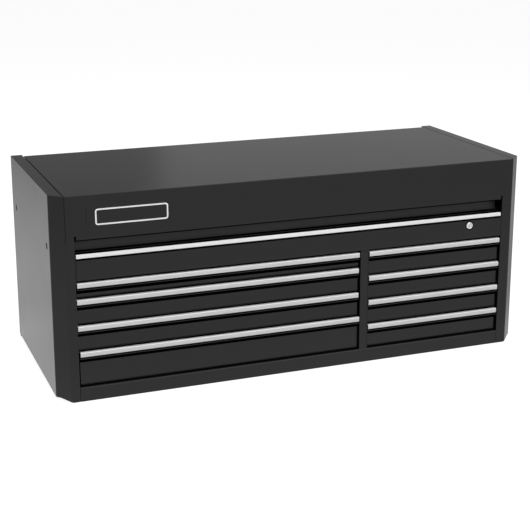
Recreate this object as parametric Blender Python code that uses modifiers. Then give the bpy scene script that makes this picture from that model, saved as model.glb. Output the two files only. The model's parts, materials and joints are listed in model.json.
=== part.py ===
# A wide top tool chest of folded sheet steel, to stand on a cabinet or a bench.
# A lid with a deep front apron opens a till. Under it are one full-width locking drawer,
# four drawers in a wide left column and four in a narrow right column.
# Metres, Z up. The front faces -Y, and the origin is at the middle of the bottom.
# Drawing coordinates run from the front left bottom corner: x to the right, y to the back.
# A drop is a distance down from the top of the chest.

import math

import bmesh
import bpy
from mathutils import Matrix, Vector

# Whole chest
WIDTH = 1.448
DEPTH = 0.597
HEIGHT = 0.585
CABINET_SHEET = 0.0015
TOUCH = 0.0003
SEAM = 0.0006
STEP = 0.0002
OVERRUN = 0.004
BEND = 0.002

# Side shells, each a panel, a chamfered corner and a front post
CHAMFER = 0.0365
LEFT_POST = 0.061
RIGHT_POST = 0.0685
JAMB_DEPTH = 0.020
REAR_FLANGE = 0.030
SIDE_FOOT = 0.0105
FOOT_SLANT_START = 0.0095
FOOT_SLANT_END = 0.042
TOP_STRIP = 0.0344
STRIP_FLANGE = 0.018
FOOT_FLANGE = 0.029

# Lid and its apron
LID_EDGE = 0.0374
LID_REAR_INSET = 0.019
LID_SKIRT = 0.022
LID_FLANGE = 0.015
APRON_SHARE = 0.2123
APRON_HEM = 0.014
HEM_RETURN = 0.006
RELIEF_WIDTH = 0.0045
RELIEF_OVERLAP = 0.001
RELIEF_HEIGHT = 0.013
STIFFENER_START = 0.190
STIFFENER_WIDTH = 0.045
STIFFENER_HEIGHT = 0.018
STIFFENER_END = 0.060

# Piano hinge at the back of the lid
HINGE_INSET = 0.012
HINGE_DROP = 0.009
KNUCKLE_RADIUS = 0.003
PIN_RADIUS = 0.0016
LEAF_SHEET = 0.0012
LEAF_HEIGHT = 0.012
LEAF_DEPTH = 0.0045
KNUCKLE_COUNT = 11
KNUCKLE_GAP = 0.0004
HINGE_END = 0.003
SHELF_DROP = 0.0125
SHELF_FRONT = 0.014

# Back panel, base pan and front rail
PAN_INSET = 0.008
PAN_CORNER = 0.0285
PAN_RIM = 0.0097
RAIL_TOP = 0.0422
RAIL_BEND = 0.004
RAIL_FLANGE = 0.025
RAIL_LIP = 0.008

# Till under the lid
TILL_SETBACK = 0.033
TILL_FLOOR_BELOW_APRON = 0.0358
TILL_WALL_DROP = 0.060
TILL_END_GAP = 0.005
TILL_REAR_INSET = 0.027

# Slide frames inside the sides
UPRIGHT_SETBACK = 0.038
UPRIGHT_WIDTH = 0.020
REAR_UPRIGHT_INSET = 0.047
TIE_THICKNESS = 0.0025
TIE_HEIGHT = 0.025
TIE_INSET = 0.008

# Deck and partition between the drawers
DECK_GAP = 0.0027
DIVIDER_SHARE = 0.6271
DIVIDER_WIDTH = 0.0252
REAR_CLEARANCE = 0.007

# Drawers
DRAWER_SHEET = 0.0012
DRAWER_BEND = 0.0013
SIDE_GAP = 0.0025
FRONT_SHIFTS = (0, -0.002, -0.002, 0.002)
SLIDE_SPACE = 0.0127
TRAY_REAR_INSET = 0.0505
COLUMN_GAP = 0.0085
SHALLOW_SHARE = 0.1604
MEDIUM_SHARE = 0.2555
FACE_RECESS = 0.010
FACE_DROP = 0.0287
FACE_GAP = 0.0056
LAST_GAP = 0.002
POCKET_DEPTH = 0.016
FACE_RETURN = 0.017
NOSE_SETBACK = 0.005
NOSE_HEM = 0.0015
NOSE_HEM_DROP = 0.0162
NOSE_DROP = 0.019
TOP_PULL_GAP = 0.002
TOP_FACE_SHARE = 0.4048
TOP_POCKET = 0.024
TOP_GROOVE_DEPTH = 0.007
TOP_GROOVE = 0.0037
TOP_WALL_DROP = 0.0005

# Pulls, one aluminium extrusion
PULL_FACE = 0.0125
PULL_DEPTH = 0.0125
PULL_SHEET = 0.0018
PULL_BEAD = 0.003
PULL_BEAD_HEIGHT = 0.0025
PULL_LEAN = 0.0008
PULL_ROUND = 0.0014
PULL_INSET = 0.0005

# Slides
SLIDE_DEPTH = 0.006
SLIDE_LIFT = 0.005
SLIDE_HEADROOM = 0.0068
SLIDE_SHEET = 0.0012
SLIDE_REAR_INSET = 0.031
RUNNER_GAP = 0.0005

# Lock in the top drawer
LOCK_INSET = 0.179
LOCK_BELOW_PULL = 0.0326
BEZEL_RADIUS = 0.012
BEZEL_PROUD = 0.0025
BEZEL_ROUND = 0.001
BARREL_RADIUS = 0.0095
BARREL_LENGTH = 0.018
PLUG_RADIUS = 0.0065
PLUG_HEAD = 0.0006
KEYWAY_WIDTH = 0.0016
KEYWAY_HEIGHT = 0.008
KEYWAY_DEPTH = 0.009
CAM_LENGTH = 0.024
CAM_WIDTH = 0.010
CAM_SHEET = 0.002

# Flush plugs in the side panels
PLUG_HOLE_RADIUS = 0.0098
PLUG_DROP = 0.150
FRONT_PLUG_SETBACK = 0.0732
REAR_PLUG_INSET = 0.0623
PLUG_FLANGE = 0.003
PLUG_DISH = 0.0022
PLUG_WALL = 0.0012
PLUG_STEM = 0.005

# Bare plate on the apron
PLATE_LEFT = 0.094
PLATE_WIDTH = 0.2565
PLATE_DROP = 0.0345
PLATE_HEIGHT = 0.053
PLATE_SHEET = 0.0008
PLATE_CORNER = 0.002

# Gas struts that hold the lid open
STRUT_FOOT_INSET = 0.029
STRUT_FOOT_DROP = 0.060
STRUT_REACH = 0.300
STRUT_HEAD_DROP = 0.020
STRUT_RADIUS = 0.006
EYE_RADIUS = 0.0065
ROD_RADIUS = 0.0035
ROD_CLEARANCE = 0.0004
TUBE_LENGTH = 0.170
ROD_START = 0.060
BRACKET_SHEET = 0.002
BRACKET_WIDTH = 0.020
STUD_LENGTH = 0.010
STUD_RADIUS = 0.004

# Where things lie that several pieces share; the rows of the front are shares of its height
PROUD = BEZEL_PROUD
APRON_DROP = HEIGHT * APRON_SHARE
TILL_FLOOR_DROP = APRON_DROP + TILL_FLOOR_BELOW_APRON
TOP_PULL_DROP = TILL_FLOOR_DROP + TOP_PULL_GAP
TOP_FACE_DROP = HEIGHT * TOP_FACE_SHARE
DECK_DROP = TOP_FACE_DROP + DECK_GAP
COLUMN_DROP = TOP_FACE_DROP + COLUMN_GAP
LAST_BOTTOM = RAIL_TOP + LAST_GAP
COLUMN_HEIGHT = HEIGHT - COLUMN_DROP - LAST_BOTTOM
SHALLOW_HEIGHT = COLUMN_HEIGHT * SHALLOW_SHARE - FACE_GAP
SLIDE_HEIGHT = SHALLOW_HEIGHT - SLIDE_LIFT - SLIDE_HEADROOM
LOCK_X = WIDTH - LOCK_INSET
LOCK_DROP = TOP_PULL_DROP + LOCK_BELOW_PULL
CORNER = Vector((-WIDTH / 2, -(DEPTH - PROUD) / 2, 0))
HINGE_Y = DEPTH - HINGE_INSET
HINGE_Z = HEIGHT - HINGE_DROP
LID_REAR = DEPTH - LID_REAR_INSET
TILL_REAR = DEPTH - TILL_REAR_INSET
BACK_FACE = DEPTH - CABINET_SHEET - TOUCH
BACK_INSIDE = BACK_FACE - CABINET_SHEET
DIVIDER_LEFT = WIDTH * DIVIDER_SHARE
DIVIDER_RIGHT = DIVIDER_LEFT + DIVIDER_WIDTH
TRAY_REAR = DEPTH - TRAY_REAR_INSET
SLIDE_REAR = DEPTH - SLIDE_REAR_INSET
REAR_PLUG_SETBACK = DEPTH - REAR_PLUG_INSET
UPRIGHT_TOP = HEIGHT - TILL_FLOOR_DROP - TOUCH
UPRIGHT_FOOT = SIDE_FOOT + CABINET_SHEET + TOUCH
RIGHT_JAMB = WIDTH - RIGHT_POST
TILL_LEFT = LEFT_POST + TILL_END_GAP
TILL_RIGHT = RIGHT_JAMB - TILL_END_GAP

# Finishes, each a colour, how metallic it is and how rough
PAINTED = ((0.020, 0.020, 0.021), 0.0, 0.45)
INNER = ((0.010, 0.010, 0.010), 0.0, 0.6)
ALUMINIUM = ((0.78, 0.79, 0.80), 1.0, 0.32)
CHROME = ((0.85, 0.85, 0.85), 1.0, 0.15)
ZINC = ((0.45, 0.46, 0.47), 1.0, 0.4)
PLASTIC = ((0.012, 0.012, 0.012), 0.0, 0.5)

chest = None
tools = None


def clear_scene():
    for item in list(bpy.data.objects):
        bpy.data.objects.remove(item, do_unlink=True)


def new_collection(name):
    made = bpy.data.collections.new(name)
    bpy.context.scene.collection.children.link(made)
    return made


def new_material(name, colour, metallic, roughness):
    made = bpy.data.materials.new(name)
    made.use_nodes = True
    shader = made.node_tree.nodes["Principled BSDF"]
    shader.inputs["Base Color"].default_value = (*colour, 1)
    shader.inputs["Metallic"].default_value = metallic
    shader.inputs["Roughness"].default_value = roughness
    return made


def place_mesh(name, mesh, finish):
    # A finish makes the object a part of the chest; without one it is a tool for cutting or joining.
    item = bpy.data.objects.new(name, mesh)
    item.location = CORNER
    if finish is None:
        tools.objects.link(item)
        item.hide_render = True
        item.display_type = "WIRE"
    else:
        chest.objects.link(item)
        mesh.materials.append(new_material(name, *finish))
    return item


def box(name, low, high, finish=None):
    low, high = Vector(low), Vector(high)
    shape = bmesh.new()
    bmesh.ops.create_cube(shape, size=1)
    scaled = Matrix.Diagonal(high - low)
    for vertex in shape.verts:
        vertex.co = scaled @ vertex.co + (low + high) / 2
    mesh = bpy.data.meshes.new(name)
    shape.to_mesh(mesh)
    shape.free()
    return place_mesh(name, mesh, finish)


def cylinder(name, start, end, radius, steps, finish=None):
    start, end = Vector(start), Vector(end)
    run = end - start
    shape = bmesh.new()
    bmesh.ops.create_cone(
        shape, cap_ends=True, segments=steps, radius1=radius, radius2=radius, depth=run.length
    )
    turn = Vector((0, 0, 1)).rotation_difference(run).to_matrix()
    for vertex in shape.verts:
        vertex.co = turn @ vertex.co + (start + end) / 2
    mesh = bpy.data.meshes.new(name)
    shape.to_mesh(mesh)
    shape.free()
    mesh.shade_smooth()
    mesh.set_sharp_from_angle(angle=math.radians(40))
    return place_mesh(name, mesh, finish)


def lay(along, u, v, w):
    # A drawn point (u, v) and its place w along the extrusion, as x, y, z.
    if along == "X":
        return Vector((w, u, v))
    if along == "Y":
        return Vector((u, w, v))
    return Vector((u, v, w))


def folded(name, path, along, low, high, thickness, bend, finish=None):
    # Folded sheet: the path is one face of the sheet, and the metal lies to the left of the path.
    shape = bmesh.new()
    line = [shape.verts.new(lay(along, u, v, low)) for u, v in path]
    edges = [shape.edges.new(pair) for pair in zip(line, line[1:])]
    grown = bmesh.ops.extrude_edge_only(shape, edges=edges)["geom"]
    moved = [item for item in grown if isinstance(item, bmesh.types.BMVert)]
    bmesh.ops.translate(shape, verts=moved, vec=lay(along, 0, 0, high - low))
    bmesh.ops.recalc_face_normals(shape, faces=shape.faces)
    shape.verts.ensure_lookup_table()
    (u0, v0), (u1, v1) = path[0], path[1]
    outward = lay(along, v1 - v0, u0 - u1, 0)
    first = next(face for face in shape.faces if line[0] in face.verts)
    if first.normal.dot(outward) < 0:
        bmesh.ops.reverse_faces(shape, faces=shape.faces)
    mesh = bpy.data.meshes.new(name)
    shape.to_mesh(mesh)
    shape.free()
    item = place_mesh(name, mesh, finish)
    if bend:
        rounding = item.modifiers.new("bends", "BEVEL")
        rounding.width = bend
        rounding.segments = 2
        rounding.limit_method = "ANGLE"
        rounding.angle_limit = math.radians(20)
    wall = item.modifiers.new("sheet", "SOLIDIFY")
    wall.thickness = thickness
    wall.offset = -1
    wall.use_even_offset = True
    return item


def flat(name, outline, along, low, high, finish=None):
    # A flat outline, drawn as a curve, given its thickness and made a mesh.
    curve = bpy.data.curves.new(name, "CURVE")
    curve.dimensions = "2D"
    curve.fill_mode = "BOTH"
    curve.extrude = abs(high - low) / 2
    spline = curve.splines.new("POLY")
    spline.points.add(len(outline) - 1)
    for point, (u, v) in zip(spline.points, outline):
        point.co = (u, v, 0, 1)
    spline.use_cyclic_u = True
    guide = bpy.data.objects.new(name + "_guide", curve)
    bpy.context.scene.collection.objects.link(guide)
    bpy.context.view_layer.update()
    mesh = bpy.data.meshes.new_from_object(guide.evaluated_get(bpy.context.evaluated_depsgraph_get()))
    bpy.data.objects.remove(guide, do_unlink=True)
    mesh.name = name
    shape = bmesh.new()
    shape.from_mesh(mesh)
    for vertex in shape.verts:
        u, v, w = vertex.co
        vertex.co = lay(along, u, v, w + (low + high) / 2)
    bmesh.ops.remove_doubles(shape, verts=shape.verts, dist=TOUCH / 10)
    bmesh.ops.recalc_face_normals(shape, faces=shape.faces)
    shape.to_mesh(mesh)
    shape.free()
    mesh.materials.clear()
    return place_mesh(name, mesh, finish)


def turned(name, profile, centre, toward, steps, finish=None):
    # A turned shape: (radius, height) pairs spun about an axis that points along toward.
    shape = bmesh.new()
    line = [shape.verts.new((radius, 0, height)) for radius, height in profile]
    for pair in zip(line, line[1:]):
        shape.edges.new(pair)
    mesh = bpy.data.meshes.new(name)
    shape.to_mesh(mesh)
    shape.free()
    item = place_mesh(name, mesh, finish)
    spin = item.modifiers.new("spin", "SCREW")
    spin.steps = steps
    spin.render_steps = steps
    spin.use_merge_vertices = True
    spin.merge_threshold = TOUCH / 10
    item.location = CORNER + Vector(centre)
    item.rotation_euler = Vector((0, 0, 1)).rotation_difference(Vector(toward)).to_euler()
    return item


def combine(item, tool, operation):
    change = item.modifiers.new(tool.name, "BOOLEAN")
    change.operation = operation
    change.object = tool
    change.solver = "EXACT"


def join(item, *shapes):
    for shape in shapes:
        combine(item, shape, "UNION")


def cut(item, *shapes):
    for shape in shapes:
        combine(item, shape, "DIFFERENCE")


def mirrored(name, source, finish):
    # The same piece at the other end of the chest, as its own mesh.
    bpy.context.view_layer.update()
    mesh = bpy.data.meshes.new_from_object(source.evaluated_get(bpy.context.evaluated_depsgraph_get()))
    mesh.name = name
    mesh.transform(Matrix.Translation((WIDTH, 0, 0)) @ Matrix.Diagonal((-1, 1, 1, 1)))
    mesh.flip_normals()
    mesh.materials.clear()
    return place_mesh(name, mesh, finish)


def carry(name, place, *items):
    # An empty on the joint's axis that its moving pieces hang on.
    pivot = bpy.data.objects.new(name, None)
    pivot.empty_display_size = CHAMFER
    pivot.location = place
    chest.objects.link(pivot)
    for item in items:
        item.parent = pivot
        item.matrix_parent_inverse = Matrix.Translation(place).inverted()
    return pivot


def make_side(name, post, finish):
    # Drawn as the left side; post is the width of its front post.
    plan = (
        (REAR_FLANGE, DEPTH),
        (0, DEPTH),
        (0, CHAMFER),
        (CHAMFER, 0),
        (post, 0),
        (post, JAMB_DEPTH),
    )
    side = folded(name, plan, "Z", 0, HEIGHT, CABINET_SHEET, BEND, finish)
    # The lid's apron takes the place of the post's upper front.
    cut(
        side,
        box(
            "apron_clearance",
            (CHAMFER, -OVERRUN, HEIGHT - APRON_DROP - SEAM),
            (post + OVERRUN, JAMB_DEPTH + OVERRUN, HEIGHT + OVERRUN),
        ),
    )
    # The panel ends above the floor, and the chamfer's foot slants down from it to the post.
    foot = (
        (-OVERRUN, -OVERRUN),
        (FOOT_SLANT_END, -OVERRUN),
        (FOOT_SLANT_END, 0),
        (FOOT_SLANT_START, SIDE_FOOT),
        (-OVERRUN, SIDE_FOOT),
    )
    cut(side, flat("foot_slant", foot, "Y", -OVERRUN, CHAMFER + STEP))
    cut(
        side,
        box(
            "panel_foot",
            (-OVERRUN, CHAMFER, -OVERRUN),
            (REAR_FLANGE + OVERRUN, DEPTH + OVERRUN, SIDE_FOOT),
        ),
        box(
            "jamb_foot",
            (post - CABINET_SHEET - BEND, CABINET_SHEET + STEP, -OVERRUN),
            (post + OVERRUN, JAMB_DEPTH + OVERRUN, SIDE_FOOT),
        ),
    )
    strip = (
        (STEP, DEPTH - STEP),
        (STEP, CHAMFER),
        (TOP_STRIP, CHAMFER - TOP_STRIP + STEP),
        (TOP_STRIP, DEPTH - STEP),
    )
    join(side, flat("top_strip", strip, "Z", HEIGHT - CABINET_SHEET, HEIGHT))
    join(
        side,
        box(
            "strip_flange",
            (TOP_STRIP - CABINET_SHEET, CHAMFER - TOP_STRIP + BEND, HEIGHT - STRIP_FLANGE),
            (TOP_STRIP - STEP, LID_REAR, HEIGHT - STEP),
        ),
    )
    join(
        side,
        box(
            "foot_flange",
            (CABINET_SHEET / 2, UPRIGHT_SETBACK, SIDE_FOOT + STEP),
            (FOOT_FLANGE, BACK_INSIDE - OVERRUN, SIDE_FOOT + CABINET_SHEET),
        ),
    )
    for place in (FRONT_PLUG_SETBACK, REAR_PLUG_SETBACK):
        z = HEIGHT - PLUG_DROP
        cut(side, cylinder("plug_hole", (-OVERRUN, place, z), (OVERRUN, place, z), PLUG_HOLE_RADIUS, 24))
    return side


def make_plug(name, side, place, finish):
    # A flush dished plug; side is -1 at the left panel and +1 at the right one.
    rim = PLUG_HOLE_RADIUS - TOUCH
    flange_face = -CABINET_SHEET - TOUCH
    floor = -PLUG_DISH
    profile = (
        (0, floor),
        (rim - PLUG_WALL, floor + PLUG_WALL / 2),
        (rim - PLUG_WALL / 2, -STEP),
        (rim, -STEP),
        (rim, flange_face),
        (PLUG_HOLE_RADIUS + PLUG_FLANGE, flange_face),
        (PLUG_HOLE_RADIUS + PLUG_FLANGE, flange_face - PLUG_WALL),
        (rim - PLUG_WALL, -PLUG_STEM),
        (0, -PLUG_STEM),
    )
    x = 0 if side < 0 else WIDTH
    return turned(name, profile, (x, place, HEIGHT - PLUG_DROP), (side, 0, 0), 24, finish)


def make_back(finish):
    path = (
        (BACK_FACE, 0),
        (BACK_FACE, HEIGHT - SHELF_DROP),
        (DEPTH - SHELF_FRONT, HEIGHT - SHELF_DROP),
    )
    inset = CABINET_SHEET + TOUCH
    return folded("back_panel", path, "X", inset, WIDTH - inset, CABINET_SHEET, BEND, finish)


def pan_outline(inset):
    front = CABINET_SHEET + TOUCH + inset
    side = PAN_INSET + inset
    corner = CHAMFER + PAN_CORNER + inset * math.sqrt(2)
    back = BACK_INSIDE - TOUCH - inset
    half = (
        (side, back),
        (side, corner - side),
        (corner - front, front),
    )
    return half + tuple((WIDTH - x, y) for x, y in reversed(half))


def make_pan(finish):
    pan = flat("base_pan", pan_outline(0), "Z", 0, PAN_RIM, finish)
    hollow = flat("pan_hollow", pan_outline(CABINET_SHEET), "Z", CABINET_SHEET, PAN_RIM + OVERRUN)
    cut(pan, hollow)
    return pan


def make_rail(finish):
    path = (
        (RAIL_FLANGE, RAIL_TOP - RAIL_LIP),
        (RAIL_FLANGE, RAIL_TOP),
        (0, RAIL_TOP),
        (0, 0),
    )
    ends = LEFT_POST + SEAM, RIGHT_JAMB - SEAM
    return folded("front_rail", path, "X", *ends, CABINET_SHEET, RAIL_BEND, finish)


def make_partition(finish):
    rear = BACK_INSIDE - REAR_CLEARANCE
    plan = ((DIVIDER_LEFT, rear), (DIVIDER_LEFT, 0), (DIVIDER_RIGHT, 0), (DIVIDER_RIGHT, rear))
    top = HEIGHT - DECK_DROP - CABINET_SHEET - TOUCH
    partition = folded(
        "partition", plan, "Z", CABINET_SHEET + TOUCH, top, CABINET_SHEET, BEND, finish
    )
    cut(
        partition,
        box(
            "rail_notch",
            (DIVIDER_LEFT - OVERRUN, -OVERRUN, -OVERRUN),
            (DIVIDER_RIGHT + OVERRUN, RAIL_FLANGE + TOUCH, RAIL_TOP + TOUCH),
        ),
    )
    return partition


def make_deck(finish):
    return box(
        "drawer_deck",
        (LEFT_POST + TOUCH, UPRIGHT_SETBACK, HEIGHT - DECK_DROP - CABINET_SHEET),
        (RIGHT_JAMB - TOUCH, BACK_INSIDE - TOUCH, HEIGHT - DECK_DROP),
        finish,
    )


def make_till(finish):
    floor = HEIGHT - TILL_FLOOR_DROP
    rim = HEIGHT - TILL_WALL_DROP
    path = ((TILL_SETBACK, rim), (TILL_SETBACK, floor), (TILL_REAR, floor), (TILL_REAR, rim))
    till = folded("till_tray", path, "X", TILL_LEFT, TILL_RIGHT, CABINET_SHEET, BEND, finish)
    stud_y = HINGE_Y - STRUT_FOOT_INSET
    stud_z = HINGE_Z - STRUT_FOOT_DROP
    for name, low, outward in (
        ("till_left_end", TILL_LEFT, -1),
        ("till_right_end", TILL_RIGHT - CABINET_SHEET, 1),
    ):
        join(
            till,
            box(
                name,
                (low, TILL_SETBACK + STEP, floor + BEND / 2),
                (low + CABINET_SHEET, TILL_REAR - STEP, rim - STEP),
            ),
        )
        root = low + CABINET_SHEET / 2
        tip = root + outward * (CABINET_SHEET / 2 + STUD_LENGTH)
        join(till, cylinder(name + "_stud", (root, stud_y, stud_z), (tip, stud_y, stud_z), STUD_RADIUS, 16))
    return till


def make_slide_frame(name, post, finish):
    web = post
    start = CABINET_SHEET + TOUCH
    rear = DEPTH - REAR_UPRIGHT_INSET
    uprights = []
    for low in (UPRIGHT_SETBACK, rear):
        plan = (
            (start, low),
            (web, low),
            (web, low + UPRIGHT_WIDTH),
            (start, low + UPRIGHT_WIDTH),
        )
        made = name if not uprights else name + "_rear"
        used = finish if not uprights else None
        uprights.append(
            folded(made, plan, "Z", UPRIGHT_FOOT, UPRIGHT_TOP, CABINET_SHEET, BEND, used)
        )
    frame = uprights[0]
    join(frame, uprights[1])
    inside = web - CABINET_SHEET + STEP
    for tie, z in (
        ("_lower_tie", UPRIGHT_FOOT + TIE_INSET),
        ("_upper_tie", UPRIGHT_TOP - TIE_INSET - TIE_HEIGHT),
    ):
        join(
            frame,
            box(
                name + tie,
                (inside - TIE_THICKNESS, UPRIGHT_SETBACK + UPRIGHT_WIDTH / 2, z),
                (inside, rear + UPRIGHT_WIDTH / 2, z + TIE_HEIGHT),
            ),
        )
    return frame


def make_lid(finish):
    apron = HEIGHT - APRON_DROP
    path = (
        (LID_REAR, HEIGHT - LID_SKIRT),
        (LID_REAR, HEIGHT),
        (0, HEIGHT),
        (0, apron),
        (APRON_HEM, apron),
        (APRON_HEM, apron + HEM_RETURN),
    )
    lid = folded("lid", path, "X", LID_EDGE, WIDTH - LID_EDGE, CABINET_SHEET, BEND, finish)
    # The apron's hem runs only between the posts, from one relief slot to the other.
    for name, near, far in (
        ("left_hem_end", LID_EDGE - OVERRUN, LEFT_POST),
        ("right_hem_end", RIGHT_JAMB, WIDTH - LID_EDGE + OVERRUN),
    ):
        cut(
            lid,
            box(
                name,
                (near, CABINET_SHEET, apron - OVERRUN),
                (far, APRON_HEM + OVERRUN, apron + HEM_RETURN + OVERRUN),
            ),
        )
    for name, near in (
        ("left_relief", LEFT_POST - RELIEF_OVERLAP),
        ("right_relief", RIGHT_JAMB + RELIEF_OVERLAP - RELIEF_WIDTH),
    ):
        cut(
            lid,
            box(
                name,
                (near, -OVERRUN, apron - OVERRUN),
                (near + RELIEF_WIDTH, APRON_HEM + OVERRUN, apron + RELIEF_HEIGHT),
            ),
        )
    for name, near in (
        ("lid_left_flange", LID_EDGE + STEP),
        ("lid_right_flange", WIDTH - LID_EDGE - STEP - CABINET_SHEET),
    ):
        join(
            lid,
            box(
                name,
                (near, CABINET_SHEET / 2, HEIGHT - LID_FLANGE),
                (near + CABINET_SHEET, LID_REAR - CABINET_SHEET / 2, HEIGHT - CABINET_SHEET / 2),
            ),
        )
    welded = HEIGHT - CABINET_SHEET + STEP
    hat = (
        (STIFFENER_START, welded),
        (STIFFENER_START, welded - STIFFENER_HEIGHT),
        (STIFFENER_START + STIFFENER_WIDTH, welded - STIFFENER_HEIGHT),
        (STIFFENER_START + STIFFENER_WIDTH, welded),
    )
    join(
        lid,
        folded(
            "lid_stiffener", hat, "X", STIFFENER_END, WIDTH - STIFFENER_END, CABINET_SHEET, BEND
        ),
    )
    head_y = HINGE_Y - STRUT_REACH
    head_z = HINGE_Z - STRUT_HEAD_DROP
    for name, near in (
        ("left_bracket", TILL_LEFT - STUD_LENGTH),
        ("right_bracket", TILL_RIGHT + STUD_LENGTH - BRACKET_SHEET),
    ):
        join(
            lid,
            box(
                name,
                (near, head_y - BRACKET_WIDTH / 2, head_z - EYE_RADIUS),
                (near + BRACKET_SHEET, head_y + BRACKET_WIDTH / 2, HEIGHT - CABINET_SHEET / 2),
            ),
        )
    return lid


def make_hinge(fixed_finish, moving_finish):
    start = LID_EDGE + HINGE_END
    run = WIDTH - 2 * start
    pitch = run / KNUCKLE_COUNT
    skirt = LID_REAR + TOUCH
    shelf = HEIGHT - SHELF_DROP + TOUCH
    leaf_front = HINGE_Y + KNUCKLE_RADIUS + KNUCKLE_GAP
    fixed = box(
        "hinge_fixed_leaf",
        (start, leaf_front, shelf),
        (start + run, leaf_front + LEAF_DEPTH, shelf + LEAF_SHEET),
        fixed_finish,
    )
    leaf_top = HINGE_Z + LEAF_SHEET / 2
    moving = box(
        "hinge_lid_leaf",
        (start, skirt, leaf_top - LEAF_HEIGHT),
        (start + run, skirt + LEAF_SHEET, leaf_top + STEP),
        moving_finish,
    )
    for index in range(KNUCKLE_COUNT):
        low = start + index * pitch + KNUCKLE_GAP / 2
        high = low + pitch - KNUCKLE_GAP
        barrel = cylinder(
            f"knuckle_{index}", (low, HINGE_Y, HINGE_Z), (high, HINGE_Y, HINGE_Z), KNUCKLE_RADIUS, 16
        )
        if index % 2:
            web = box(
                f"web_{index}",
                (low, skirt + LEAF_SHEET / 2, HINGE_Z - LEAF_SHEET / 2),
                (high, HINGE_Y - KNUCKLE_RADIUS / 2, HINGE_Z + LEAF_SHEET / 2),
            )
            join(moving, barrel, web)
        else:
            web = box(
                f"web_{index}",
                (low + STEP, HINGE_Y, shelf + STEP),
                (high - STEP, leaf_front + LEAF_DEPTH / 2, shelf + LEAF_SHEET - STEP / 2),
            )
            join(fixed, barrel, web)
    ends = KNUCKLE_GAP
    pin = cylinder(
        "hinge_pin",
        (start + ends, HINGE_Y, HINGE_Z),
        (start + run - ends, HINGE_Y, HINGE_Z),
        PIN_RADIUS,
        12,
    )
    join(fixed, pin)
    bore = cylinder(
        "hinge_bore",
        (start - OVERRUN, HINGE_Y, HINGE_Z),
        (start + run + OVERRUN, HINGE_Y, HINGE_Z),
        PIN_RADIUS + KNUCKLE_GAP,
        12,
    )
    cut(moving, bore)
    return fixed, moving


def make_strut(side, tube_finish, rod_finish):
    # Drawn along +Y from the foot's pivot, then turned to point at the lid's bracket.
    name = "left_strut" if side < 0 else "right_strut"
    reach = STUD_LENGTH + TOUCH + STRUT_RADIUS
    across = TILL_LEFT - reach if side < 0 else TILL_RIGHT + reach
    foot = Vector((across, HINGE_Y - STRUT_FOOT_INSET, HINGE_Z - STRUT_FOOT_DROP))
    head = Vector((across, HINGE_Y - STRUT_REACH, HINGE_Z - STRUT_HEAD_DROP))
    length = (head - foot).length
    half = STRUT_RADIUS - STEP
    tube = cylinder(name + "_tube", (0, 0, 0), (0, TUBE_LENGTH, 0), STRUT_RADIUS, 20, tube_finish)
    join(tube, cylinder(name + "_foot_eye", (-half, 0, 0), (half, 0, 0), EYE_RADIUS, 20))
    bore_start = ROD_START - ROD_CLEARANCE - STRUT_RADIUS
    bore = cylinder(
        name + "_bore",
        (0, bore_start, 0),
        (0, TUBE_LENGTH + OVERRUN, 0),
        ROD_RADIUS + ROD_CLEARANCE,
        16,
    )
    cut(tube, bore)
    rod = cylinder(name + "_rod", (0, ROD_START, 0), (0, length, 0), ROD_RADIUS, 16, rod_finish)
    join(rod, cylinder(name + "_head_eye", (-half, length, 0), (half, length, 0), EYE_RADIUS, 20))
    turn = Vector((0, 1, 0)).rotation_difference(head - foot).to_euler()
    for item in (tube, rod, *(bpy.data.objects[name + end] for end in ("_foot_eye", "_bore", "_head_eye"))):
        item.location = CORNER + foot
        item.rotation_euler = turn
    return tube, rod, CORNER + foot


def arc(centre, radius, start, end, steps):
    turns = [math.radians(start + (end - start) * step / steps) for step in range(steps + 1)]
    return [(centre[0] + radius * math.cos(a), centre[1] + radius * math.sin(a)) for a in turns]


def pull_outline(top, flip):
    # The extrusion's section in (y, z): a flange, a rounded nose, and a lip with a thicker free edge.
    lip = PULL_LEAN + PULL_SHEET
    bead = PULL_LEAN + PULL_BEAD
    section = [(PULL_DEPTH, 0)]
    section += arc((PULL_ROUND, -PULL_ROUND), PULL_ROUND, 90, 180, 3)
    section += arc((PULL_LEAN + PULL_ROUND, PULL_ROUND - PULL_FACE), PULL_ROUND, 180, 270, 3)
    section += [
        (bead, -PULL_FACE),
        (bead, PULL_BEAD_HEIGHT - PULL_FACE),
        (lip, PULL_BEAD_HEIGHT + PULL_SHEET - PULL_FACE),
        (lip, -PULL_SHEET),
        (PULL_DEPTH, -PULL_SHEET),
    ]
    if flip:
        section = [(y, -PULL_FACE - z) for y, z in reversed(section)]
    return [(y, top + z) for y, z in section]


def column_front(top, bottom):
    # The drawer front's sheet, from the nose's hem round the finger pocket and down the face.
    flange = top - PULL_SHEET - TOUCH - DRAWER_SHEET
    pocket = FACE_RECESS + POCKET_DEPTH
    return (
        (NOSE_HEM, top - NOSE_HEM_DROP),
        (NOSE_HEM, top - NOSE_DROP),
        (NOSE_SETBACK, top - NOSE_DROP),
        (NOSE_SETBACK, flange),
        (pocket, flange),
        (pocket, top - FACE_DROP),
        (FACE_RECESS, top - FACE_DROP),
        (FACE_RECESS, bottom),
        (FACE_RECESS + FACE_RETURN, bottom),
    )


def top_front(top, bottom):
    # The top drawer's pull is the other way up, so its finger room is above and behind it.
    ledge = top - PULL_FACE - TOUCH
    return (
        (TOP_POCKET, top - TOP_WALL_DROP),
        (TOP_POCKET, ledge),
        (TOP_GROOVE_DEPTH, ledge),
        (TOP_GROOVE_DEPTH, ledge - TOP_GROOVE + TOUCH),
        (0, ledge - TOP_GROOVE + TOUCH),
        (0, bottom),
        (FACE_RECESS + FACE_RETURN, bottom),
    )


def channel(outer, inner, low, high):
    # A channel's section in (x, z), with its web at outer and its open side at inner.
    if outer < inner:
        return (inner, high), (outer, high), (outer, low), (inner, low)
    return (inner, low), (outer, low), (outer, high), (inner, high)


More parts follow.
